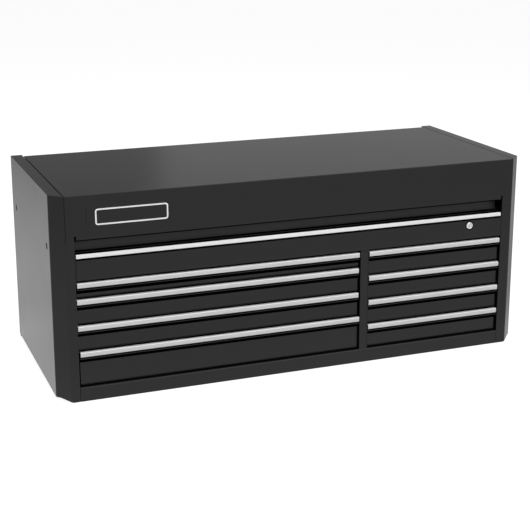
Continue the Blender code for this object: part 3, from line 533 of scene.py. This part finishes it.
trimSet = {
    # the black blocks of painted shade in the apron's relief slots, and how far a piece laps the posts
    "slotWide": 0.0052, "slotHigh": 0.0124, "slotFar": 0.0130, "slotProud": 0.0002, "slotDrop": 0.0020,
    "postLap": 0.0008, "soft": 0.0004,
    # the black strip of painted shade behind the apron's edge
    "shadeDrop": 0.0017, "shadeEnd": 0.0040, "shadeNear": 0.0020, "shadeRise": 0.0002,
    # the end pieces of the apron and the filler in the lid's right-hand seam
    "sheet": 0.0012, "flush": 0.00005, "bend": 0.0026, "lap": 0.0012, "lidInset": 0.0008,
    "edgeStart": 0.003, "edgeWide": 0.0006, "edgeEnd": 0.001, "join": 0.0002,
    # the fillers round the top drawer and the divider
    "gap": 0.0003, "face": 0.0015, "dividerSide": 0.0011, "dividerLap": 0.0004, "dividerStart": 0.042,
    # the top drawer's rolled edge
    "roll": 0.0011, "rollBack": 0.0240, "rollRise": 0.0008, "rollPoints": 16,
}


def blockShell(low, high):
    # An upright box between two corners.
    low, high = np.array(low), np.array(high)
    corners = np.array([(x, y, z) for z in (0, 1) for x, y in ((0, 0), (1, 0), (1, 1), (0, 1))])
    return low + corners * (high - low), ringFaces(2, 4)


def makeTrim():
    made = trimSet
    lidLow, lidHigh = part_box("lid")
    apron = lidLow.z
    leftPost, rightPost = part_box("front_rail")[0].x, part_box("front_rail")[1].x
    # Black blocks of painted shade stand in the apron's relief slots, and a black strip of painted shade runs
    # between them behind its edge.
    near, far = caseFront - made["slotProud"], caseFront + made["slotFar"]
    slotShades = []
    for start in (leftPost - made["postLap"], rightPost - made["slotWide"] + made["postLap"]):
        low = (start, near, apron - made["slotDrop"])
        slotShades.append(blockShell(low, (start + made["slotWide"], far, apron + made["slotHigh"])))
    newPiece("slot_shade_blocks", slotShades, "paintedShadeBlack", "lid", soften=made["soft"])
    low = (leftPost + made["shadeEnd"], caseFront + made["shadeNear"], apron - made["shadeDrop"])
    shadeStrip = blockShell(low, (rightPost - made["shadeEnd"], far, apron + made["shadeRise"]))
    newPiece("apron_shade_strip", [shadeStrip], "paintedShadeBlack", "lid", soften=made["soft"])
    # A flat end piece closes the apron's bend over each post, and a strip closes the lid's right-hand seam.
    near, far = caseFront - made["flush"], caseFront + made["sheet"]
    low, high = apron - made["lap"], apron + made["bend"]
    edgeLow = (lidHigh.x - made["join"], caseFront + made["edgeStart"], caseTop - made["sheet"])
    edgeHigh = (lidHigh.x + made["edgeWide"], lidHigh.y - made["edgeEnd"], caseTop - made["flush"])
    ends = [
        blockShell((lidLow.x + made["lidInset"], near, low), (leftPost - made["postLap"], far, high)),
        blockShell((rightPost + made["postLap"], near, low), (lidHigh.x - made["lidInset"], far, high)),
        blockShell(edgeLow, edgeHigh),
    ]
    newPiece("apron_ends", ends, "powderCoat", "lid")
    # Fillers narrow the gaps beside the top drawer's face, over the divider and along its right side.
    drawerLow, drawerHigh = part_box("top_drawer")
    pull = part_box("top_drawer_pull")[0].z
    left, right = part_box("left_side")[1].x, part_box("right_side")[0].x
    low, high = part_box("partition")
    top = drawerLow.z - made["gap"]
    near, far = caseFront, caseFront + made["sheet"]
    ramp = [(near, right), (near + made["face"], drawerHigh.x + made["gap"]), (near + made["face"], right)]
    points = np.array([(x, y, z) for z in (top, pull) for y, x in ramp])
    fillers = [
        blockShell((left - made["join"], near, top), (drawerLow.x - made["gap"], far, pull)),
        (points, ringFaces(2, 3)),
        blockShell((low.x, near, high.z - made["dividerLap"]), (high.x + made["dividerSide"], far, top)),
        blockShell(
            (high.x - made["join"], near, low.z + made["dividerStart"]),
            (high.x + made["dividerSide"], far, high.z),
        ),
    ]
    newPiece("front_fillers", fillers, "powderCoat", "case")
    # The top drawer's front wall has a rolled upper edge.
    low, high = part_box("top_drawer_pull")
    radius = made["roll"]
    angles = np.linspace(0, 2 * math.pi, made["rollPoints"], endpoint=False)
    centre = np.array([caseFront + made["rollBack"] - radius, high.z + made["rollRise"] - radius])
    roll = centre + radius * np.stack([np.cos(angles), np.sin(angles)], -1)
    shell = sweptShell(roll, low.x, high.x)
    newPiece("top_drawer_roll", [shell], "powderCoat", "top_drawer")


makeTrim()
print("stage: trim")

pullSet = {
    "lean": 0.0008,
    "sheet": 0.0018,
    "bead": 0.0030,
    "beadHeight": 0.0025,
    "noseRound": 0.0026,
    "lipRound": 0.0014,
    "innerRound": 0.0007,
    "edgeRound": 0.0004,
    "endRound": 0.0002,
    "rightTrim": 0.0015,
    "topDrop": 0.0009,
    "rise": 0.0012,
    "fall": 0.0002,
    # the black strip of painted shade under each drawer's face: its inset at its ends, its drop, and its near and
    # far face
    "shadeStrip": (0.00005, 0.0013, 0.0002, 0.0012),
    # the black backing strip of painted shade under the bead: its near and far face
    "strip": (0.0005, 0.0013),
    "stripHigh": 0.0021,
    "brightSlope": 0.20,
}


def makePulls():
    # An extruded pull: a flange on top, a face that leans a little, and a bead along the face's lower edge.
    # A thin black backing strip under the bead is painted shade for the groove there. The top drawer's pull is the
    # same the other way up.
    made = pullSet
    for name in drawerNames:
        low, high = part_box(name + "_pull")
        onTop = name == "top_drawer"
        top = high.z + (-made["topDrop"] if onTop else made["rise"])
        base = low.z - (0 if onTop else made["fall"])
        depth, face = high.y - low.y, top - base
        lip, bead = made["lean"] + made["sheet"], made["lean"] + made["bead"]
        corners = [
            (depth, 0, made["edgeRound"]),
            (0, 0, made["lipRound"] if onTop else made["noseRound"]),
            (made["lean"], -face, made["lipRound"]),
            (bead, -face, made["edgeRound"]),
            (bead, made["beadHeight"] - face, made["edgeRound"]),
            (lip, made["beadHeight"] + made["sheet"] - face, made["innerRound"]),
            (lip, -made["sheet"], made["innerRound"]),
            (depth, -made["sheet"], made["edgeRound"]),
        ]
        section = roundedLine(corners, True)
        if onTop:
            section[:, 1] = -face - section[:, 1]
        section += (low.y, top)
        start = low.x + made["rightTrim"] * name.startswith("right")
        # The top drawer's pull takes the lighter copy all over: painted light for its upturned face.
        shell, finish = sweptShell(section, start, high.x), "brightPull" if onTop else "brushedPull"
        piece = newPiece(
            name + "_handle", [shell], finish, bodyOf[name + "_pull"], [name + "_pull"],
            soften=made["endRound"],
        )
        # Painted highlight: the faces that look up or down, the flange's top and the rounded nose, take the
        # lighter copy of the aluminium.
        mesh = piece.data
        mesh.materials.append(finishes["brightPull"])
        facing = np.zeros(3 * len(mesh.polygons))
        mesh.polygons.foreach_get("normal", facing)
        bright = np.abs(facing.reshape(-1, 3)[:, 2]) > made["brightSlope"]
        mesh.polygons.foreach_set("material_index", bright.astype(np.int32))
        near, far = made["strip"]
        strip = blockShell(
            (start, low.y + near, base - made["stripHigh"]), (high.x, low.y + far, base + made["edgeRound"]),
        )
        newPiece(name + "_pull_shade_backing", [strip], "paintedShadeBlack", bodyOf[name + "_pull"])
        # A black strip of painted shade under the face's lower edge, where the gap falls into shadow.
        low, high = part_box(name)
        inset, drop, near, far = made["shadeStrip"]
        shadeStrip = blockShell(
            (low.x + inset, low.y + near, low.z - drop), (high.x - inset, low.y + far, low.z + near),
        )
        newPiece(name + "_edge_shade_strip", [shadeStrip], "paintedShadeBlack", bodyOf[name])


makePulls()
print("stage: pulls")

lockSet = {
    "around": 96,
    # the bezel: its section's sizes, and the rounding of each corner from the bore's rear end outwards
    "bore": 0.0068, "dish": 0.0004, "faceEdge": 0.0096, "faceFlat": 0.0012,
    "ring": 0.0106, "ringFront": 0.0011, "ringBack": 0.0003, "barrel": 0.0095, "barrelLength": 0.018,
    "bezelRounds": (0.0003, 0.0004, 0.0006, 0.0009, 0.0005, 0.0001, 0.0002, 0.0003),
    # a black ring of painted shade round the bezel: its inner and outer radius and its thickness
    "shadeRing": (0.0100, 0.0132, 0.0010), "shadeRingBack": 0.0001, "shadeRingEdge": 0.0003,
    # the plug's face with its key slot, and the shares of the way out at which the face has a ring
    "plugRadius": 0.0065, "plugBack": 0.0006, "slotWide": 0.0016, "slotHigh": 0.0080, "slotDepth": 0.0085,
    "slotLip": (0.0003, 0.00025), "plugFlat": 0.0007, "plugRings": (0.35, 0.7, 1.0),
    "plugEdge": 0.0002, "plugEdgeDepth": 0.0008,
    # the cam and its screw, a profile of (radius, height)
    "camHalf": 0.005, "camThick": 0.002, "camSteps": 17,
    "screw": ((0.0034, 0.0), (0.0034, 0.0008), (0.0028, 0.0012)), "screwSunk": 0.0013,
}


def makeLock():
    made = lockSet
    around, length = made["around"], made["barrelLength"]
    low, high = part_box("lock_housing")
    centre = Vector(((low.x + high.x) / 2, caseFront, (low.z + high.z) / 2))
    proud = caseFront - low.y
    spots = [
        (made["bore"], -length), (made["bore"], proud - made["dish"]),
        (made["faceEdge"] - made["faceFlat"], proud), (made["faceEdge"], proud),
        (made["ring"], made["ringFront"]), (made["ring"], made["ringBack"]),
        (made["barrel"], made["ringBack"]), (made["barrel"], -length),
    ]
    outline = roundedLine([(*spot, radius) for spot, radius in zip(spots, made["bezelRounds"])], True)
    bezel = hoopShell(outline, centre, (0, -1, 0), around)
    newPiece("lock_bezel", [bezel], "lockChrome", "top_drawer", ["lock_housing"])
    # A black ring round the bezel is painted shade for the lock's shadow.
    inner, outer, thick = made["shadeRing"]
    back, edge = made["shadeRingBack"], made["shadeRingEdge"]
    collar = [(inner, back), (inner, thick), (outer - edge, thick), (outer, thick - edge), (outer, back)]
    shadeRing = hoopShell(collar, centre, (0, -1, 0), around)
    newPiece("lock_shade_ring", [shadeRing], "paintedShadeBlack", "top_drawer")

    # The plug's face: each ring is a mix of the key slot's outline and the plug's round edge, point by point.
    angles = np.linspace(0, 2 * math.pi, around, endpoint=False)
    circle = np.stack([np.cos(angles), np.sin(angles)], -1)
    half = np.array([made["slotWide"], made["slotHigh"]]) / 2
    slot = circle / np.max(np.abs(circle) / half, axis=1)[:, None]
    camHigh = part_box("lock_plug")[1]
    front, rear = low.y + made["plugBack"], camHigh.y - made["camThick"]
    radius, edge = made["plugRadius"], made["plugEdge"]
    flat, (lipWide, lipDepth) = radius - made["plugFlat"], made["slotLip"]
    rings = [(slot, front + made["slotDepth"]), (slot, front + lipDepth), (slot + circle * lipWide, front)]
    rings += [(slot * (1 - t) + circle * flat * t, front) for t in made["plugRings"]]
    rings += [(circle * (radius - edge), front + edge), (circle * radius, front + made["plugEdgeDepth"])]
    rings += [(circle * radius, rear)]
    points = np.zeros((len(rings), around, 3))
    for row, (outline, depth) in enumerate(rings):
        points[row, :, 0] = centre.x + outline[:, 0]
        points[row, :, 1] = depth
        points[row, :, 2] = centre.z + outline[:, 1]
    plug = points.reshape(-1, 3), ringFaces(len(rings), around)
    # The cam is a plate with a round end about the plug's axis and another at its tip.
    reach, broad = camHigh.x - centre.x, made["camHalf"]
    arc = np.linspace(-math.pi / 2, math.pi / 2, made["camSteps"])
    tip = np.stack([reach - broad + broad * np.cos(arc), broad * np.sin(arc)], -1)
    heel = np.stack([-broad * np.cos(arc), -broad * np.sin(arc)], -1)
    plate = np.concatenate([tip, heel]) + (centre.x, centre.z)
    points = np.zeros((2, len(plate), 3))
    points[..., 0], points[..., 2] = plate[:, 0], plate[:, 1]
    points[0, :, 1], points[1, :, 1] = rear, camHigh.y
    cam = points.reshape(-1, 3), ringFaces(2, len(plate))
    screw = turnedShell(made["screw"], (centre.x, camHigh.y - made["screwSunk"], centre.z), (0, 1, 0))
    newPiece("lock_core", [plug, cam, screw], "lockChrome", "lock_plug", ["lock_plug"])


makeLock()
print("stage: lock")

plugSet = {
    "around": 64,
    "hub": 0.0004,
    "dish": 0.0022,
    "button": 0.0030,
    "buttonEdge": 0.0006,
    "buttonRise": 0.0004,
    "floorRise": 0.0002,
    "lip": 0.0011,
    "lipLean": 0.0003,
    "lipRound": 0.0004,
    "flange": 0.0028,
    "sunk": 0.0017,
    "wall": 0.0011,
    "softRound": 0.0003,
    "floorRound": 0.0006,
    "neckRound": 0.0001,
    "backRound": 0.0005,
}


def makeSidePlugs():
    # A dished cap with a small button in its middle and a flange sunk below its lip.
    made = plugSet
    soft, lipRound, sunk = made["softRound"], made["lipRound"], -made["sunk"]
    floor, button, edge = -made["dish"], made["button"], made["buttonEdge"]
    for name in ("left_front_plug", "left_rear_plug", "right_front_plug", "right_rear_plug"):
        low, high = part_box(name)
        outward = -1 if name.startswith("left") else 1
        face = low.x if outward < 0 else high.x
        centre = (face, (low.y + high.y) / 2, (low.z + high.z) / 2)
        outer = (high.y - low.y) / 2
        rim, back = outer - made["flange"], -(high.x - low.x)
        corners = [
            (made["hub"], floor, 0),
            (button - edge, floor, soft),
            (button, floor + made["buttonRise"], soft),
            (button + edge, floor, soft),
            (rim - made["lip"], floor + made["floorRise"], made["floorRound"]),
            (rim - made["lip"] + made["lipLean"], 0, lipRound),
            (rim, 0, lipRound),
            (rim, sunk, made["neckRound"]),
            (outer, sunk, soft),
            (outer, sunk - made["wall"], soft),
            (rim - made["wall"], back, made["backRound"]),
            (made["hub"], back, 0),
        ]
        shell = turnedShell(roundedLine(corners, False), centre, (outward, 0, 0), made["around"])
        newPiece(name + "_cap", [shell], "plugPlastic", "case", [name])


makeSidePlugs()
print("stage: side plugs")

plateSet = {
    "corner": 0.0022, "steps": 8, "leastRadius": 0.0003, "round": 0.0003, "roundShare": 0.3, "flat": 0.0010,
    "rimSize": (0.204, 0.0455), "rimShift": (-0.001, -0.001), "rimCorner": 0.0080,
    "rimWide": 0.0042, "rimHigh": 0.0004, "rimSoft": 0.0002, "rimSunk": 0.0001,
}


def makePlate():
    # A bare plate with a plain raised rim, each made of rings: a rounded rectangle at an inset and a depth.
    made = plateSet
    low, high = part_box("name_plate")
    steps = made["steps"]
    arcs = np.linspace(0, math.pi / 2, steps + 1)

    def outline(middle, half, corner, inset):
        radius = max(corner - inset, made["leastRadius"])
        spots = []
        for quarter, (sx, sz) in enumerate(((1, 1), (-1, 1), (-1, -1), (1, -1))):
            angles = arcs + quarter * math.pi / 2
            centre = (half - inset - radius) * (sx, sz)
            spots.append(middle + centre + radius * np.stack([np.cos(angles), np.sin(angles)], -1))
        return np.concatenate(spots)

    def plateRings(middle, half, corner, rings):
        points = np.zeros((len(rings), 4 * (steps + 1), 3))
        for row, (inset, depth) in enumerate(rings):
            points[row, :, (0, 2)] = outline(middle, half, corner, inset).T
            points[row, :, 1] = depth
        return points

    soft, share = made["round"], made["roundShare"]
    middle = np.array([low.x + high.x, low.z + high.z]) / 2
    half = np.array([high.x - low.x, high.z - low.z]) / 2
    rings = [
        (0, high.y), (0, low.y + soft), (soft * share, low.y + soft * share),
        (soft, low.y), (soft + made["flat"], low.y),
    ]
    points = plateRings(middle, half, made["corner"], rings)
    shell = points.reshape(-1, 3), ringFaces(len(rings), points.shape[1])
    newPiece("bare_plate", [shell], "powderCoat", "lid", ["name_plate"])
    wide, soft = made["rimWide"], made["rimSoft"]
    sunk, face = low.y + made["rimSunk"], low.y - made["rimHigh"]
    rings = [(0, sunk), (0, face + soft), (soft, face)]
    rings += [(wide - soft, face), (wide, face + soft), (wide, sunk)]
    points = plateRings(middle + made["rimShift"], np.array(made["rimSize"]) / 2, made["rimCorner"], rings)
    shell = points.reshape(-1, 3), ringFaces(len(rings), points.shape[1], False, False)
    newPiece("plate_rim", [shell], "brightPull", "lid")


makePlate()
print("stage: bare plate")

strutSet = {
    # the tube: where its neck starts and ends and its shoulder stands, its nose, and the rod's hole in it
    "tube": 0.006, "tubeLength": 0.170,
    "neck": 0.0042, "neckStart": 0.004, "neckEnd": 0.0105, "shoulder": 0.0120,
    "nose": 0.004, "noseWide": 0.0014, "holeWide": 0.0005, "holeDepth": 0.006,
    "tubeRounds": (0, 0.0006, 0.0012, 0.0016, 0.0006, 0.0002, 0),
    # the rod: where it starts in the tube, and where its neck starts and is full, back from the upper eye
    "rod": 0.0035, "rodStart": 0.060, "rodNeck": (0.0125, 0.0115),
    # an eye at each end, round a pin, with a groove round its middle
    "eye": 0.0065, "eyeHalf": 0.0058, "pin": 0.0016, "eyeEdge": 0.0006, "eyeSlope": 0.0012,
    "grooveHalf": 0.0012, "grooveFloor": 0.0008, "grooveDepth": 0.0005, "grooveRound": 0.0002,
    # points round a turned shape
    "around": 40, "rodAround": 32,
}


def makeStruts():
    made = strutSet
    joints = {row["name"]: row for row in frame["joints"]}
    half, eye, edge, groove = made["eyeHalf"], made["eye"], made["eyeEdge"], made["grooveRound"]
    eyeHalf = [
        (made["pin"], half, 0), (eye - edge, half, edge), (eye, half - made["eyeSlope"], edge),
        (eye, made["grooveHalf"], groove), (eye - made["grooveDepth"], made["grooveFloor"], groove),
    ]
    eyeLine = roundedLine([(u, -v, radius) for u, v, radius in eyeHalf] + eyeHalf[::-1], False, steps=3)
    length, rod, neck = made["tubeLength"], made["rod"], made["neck"]
    spots = [
        (neck, made["neckStart"]), (neck, made["neckEnd"]), (made["tube"], made["shoulder"]),
        (made["tube"], length - made["nose"]), (rod + made["noseWide"], length),
        (rod + made["holeWide"], length), (rod + made["holeWide"], length - made["holeDepth"]),
    ]
    corners = [(*spot, radius) for spot, radius in zip(spots, made["tubeRounds"])]
    tubeLine = roundedLine(corners, False, steps=4)
    across, around = (1, 0, 0), made["around"]
    for side in ("left", "right"):
        foot = np.array(joints[side + "_strut_swing"]["pos_m"])
        along = np.array(joints[side + "_strut_stroke"]["axis"])
        along = along / np.linalg.norm(along)
        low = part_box(side + "_strut_rod")[0]
        span = (foot[1] - (low.y + eye)) / -along[1]
        thin, full = made["rodNeck"]
        rodLine = [(rod, made["rodStart"]), (rod, span - thin)]
        rodLine += [(neck, span - full), (neck, span - made["neckStart"])]
        head = foot + along * span
        tubeShells = [turnedShell(tubeLine, foot, along, around), turnedShell(eyeLine, foot, across, around)]
        rodShell = turnedShell(rodLine, foot, along, made["rodAround"])
        rodShells = [rodShell, turnedShell(eyeLine, head, across, around)]
        tubeName, rodName = side + "_strut_tube", side + "_strut_rod"
        newPiece(side + "_strut_barrel", tubeShells, "powderCoat", tubeName, [tubeName])
        newPiece(side + "_strut_shaft", rodShells, "zincPlate", rodName, [rodName])


makeStruts()
print("stage: struts")

linerSet = {
    # the mat: its thickness, a rib's height, pitch and four points along the pitch, its gap and its lift
    "thick": 0.0012, "rib": 0.0010, "pitch": 0.0060, "ribPoints": (0.0, 0.12, 0.50, 0.62),
    "sideGap": 0.0010, "lift": 0.0002,
    # the drawers: their sheet, a slide's room, the front's lap, the shifted fronts and the front's depths
    "sheet": 0.0012, "slideRoom": 0.0127, "frontLap": 0.0025, "floor": 0.0004,
    "shifts": {"left_drawer_2": -0.002, "left_drawer_3": -0.002, "left_drawer_4": 0.002},
    "topFront": 0.024, "columnFront": 0.026,
    # the till: its sheet, its flanges and the mat's clearance
    "tillSheet": 0.0015, "tillFlange": 0.0105, "tillClear": 0.002,
}


def ribbedShell(low, high, floor):
    # A mat whose top rises and falls in flat-topped ribs across it: four points a rib, on two levels.
    pitch = linerSet["pitch"]
    count = int((high[1] - low[1]) / pitch)
    start = (low[1] + high[1] - count * pitch) / 2
    y = (start + pitch * (np.arange(count)[:, None] + np.array(linerSet["ribPoints"]))).ravel()
    y = np.concatenate([y, [start + count * pitch]])
    wave = np.concatenate([np.tile([0.0, 1.0, 1.0, 0.0], count), [0.0]])
    z = wave * linerSet["rib"] + floor + linerSet["thick"]
    rows = len(y)
    points = np.zeros((2, 2, rows, 3))
    points[0, ..., 0], points[1, ..., 0] = low[0], high[0]
    points[..., 1] = y
    points[:, 0, :, 2], points[:, 1, :, 2] = z, floor
    # The four edges that run along it: left top, right top, right bottom, left bottom.
    ids = np.arange(4 * rows).reshape(2, 2, rows)
    a, b, c, d = ids[0, 0], ids[1, 0], ids[1, 1], ids[0, 1]
    strips = [np.stack([p[:-1], q[:-1], q[1:], p[1:]], -1) for p, q in ((a, b), (b, c), (c, d), (d, a))]
    faces = np.concatenate(strips).tolist() + [[a[0], b[0], c[0], d[0]], [a[-1], b[-1], c[-1], d[-1]]]
    return points.reshape(-1, 3), [[int(i) for i in face] for face in faces]


def makeLiners():
    made = linerSet
    gap, sheet, lift = made["sideGap"], made["sheet"], made["lift"]
    space, lap = made["slideRoom"], made["frontLap"]
    for name in drawerNames:
        low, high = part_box(name)
        shift = made["shifts"].get(name, 0)
        front = caseFront + (made["topFront"] if name == "top_drawer" else made["columnFront"]) + sheet
        left, right = low.x - shift - lap + space + sheet, high.x - shift + lap - space - sheet
        floor = low.z + made["floor"] + sheet + lift
        shell = ribbedShell((left + gap, front + gap), (right - gap, high.y - sheet - gap), floor)
        newPiece(name + "_liner", [shell], "linerRubber", name)
    low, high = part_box("till_tray")
    floor = low.z + made["tillSheet"] + lift
    inset = made["tillSheet"] + made["tillClear"] + gap
    left, right = low.x + made["tillFlange"] + inset, high.x - made["tillFlange"] - inset
    shell = ribbedShell((left, low.y + inset), (right, high.y - inset), floor)
    newPiece("till_liner", [shell], "linerRubber", "case")


makeLiners()
print("stage: liners")

rivetSet = {
    "around": 20, "radius": 0.0024, "high": 0.0009, "sunk": 0.0002,
    # the hole's radius, and its floor and edge as shares of the height
    "hole": 0.0009, "holeFloor": 0.45, "holeEdge": 0.95,
    # the dome, as shares of the radius and the height
    "dome": ((0.55, 0.98), (0.85, 0.62), (1.0, 0.0)),
    # a column at each side, and two rows across; the upper ends count down from the case's top
    "faceInset": 0.0018, "columnInset": 0.040, "columnEnds": (0.035, 0.055), "columnCount": 7,
    "rowInset": 0.12, "rowHeights": (0.012, 0.165), "rowCount": 9,
}


def makeRivets():
    # Blind rivets on the back panel: low domes with a small hole in the middle.
    made = rivetSet
    low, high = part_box("back_panel")
    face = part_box("left_side")[1].y - made["faceInset"]
    radius, rise, hole = made["radius"], made["high"], made["hole"]
    profile = [(hole, rise * made["holeFloor"]), (hole, rise * made["holeEdge"])]
    profile += [(radius * across, rise * up) for across, up in made["dome"]] + [(radius, -made["sunk"])]
    bottom, drop = made["columnEnds"]
    heights = np.linspace(bottom, caseTop - drop, made["columnCount"])
    places = [(x, z) for x in (low.x + made["columnInset"], high.x - made["columnInset"]) for z in heights]
    bottom, drop = made["rowHeights"]
    across = np.linspace(low.x + made["rowInset"], high.x - made["rowInset"], made["rowCount"])
    places += [(x, z) for x in across for z in (bottom, caseTop - drop)]
    shells = [turnedShell(profile, (float(x), face, float(z)), (0, 1, 0), made["around"]) for x, z in places]
    newPiece("back_rivets", shells, "zincPlate", "case")


makeRivets()
print("stage: rivets")
